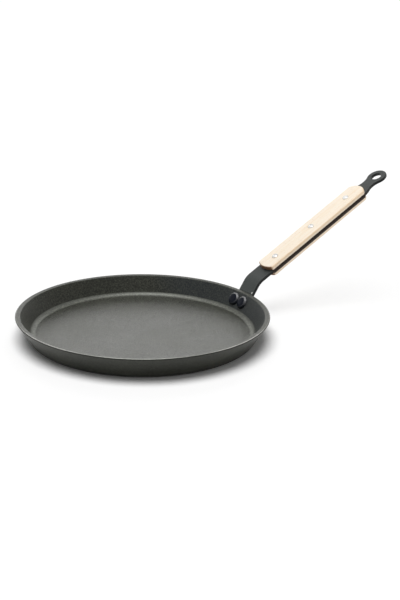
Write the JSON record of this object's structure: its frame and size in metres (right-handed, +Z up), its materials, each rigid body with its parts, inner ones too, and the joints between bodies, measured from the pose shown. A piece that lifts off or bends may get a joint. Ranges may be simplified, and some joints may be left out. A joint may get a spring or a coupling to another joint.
{
  "type": "crepe pan",
  "caption": "Shallow round crepe pan with a flared wall and a riveted, bent strap handle that carries wood grip scales and ends in a hanging eye.",
  "frame": {"origin": "on the pan's axis, at the level of the hob that the base stands on", "axes": "+X from the pan's axis along the handle, +Z up"},
  "size_m": [0.4533, 0.26, 0.1406],
  "materials": {
    "pan_coating": "fine-speckled dark grey non-stick coating on cast aluminium",
    "strap_steel": "satin dark grey coated steel bar",
    "scale_wood": "pale smooth beech, burnt darker on the near end grain",
    "scale_rivet_metal": "bare satin aluminium",
    "pan_rivet_metal": "glossy blue-black coating"
  },
  "bodies": {
    "root": {"pan_body": "pan_coating", "handle_strap": "strap_steel", "upper_scale": "scale_wood", "lower_scale": "scale_wood", "front_scale_rivet": "scale_rivet_metal", "middle_scale_rivet": "scale_rivet_metal", "rear_scale_rivet": "scale_rivet_metal", "left_pan_rivet": "pan_rivet_metal", "right_pan_rivet": "pan_rivet_metal"}
  },
  "joints": []
}
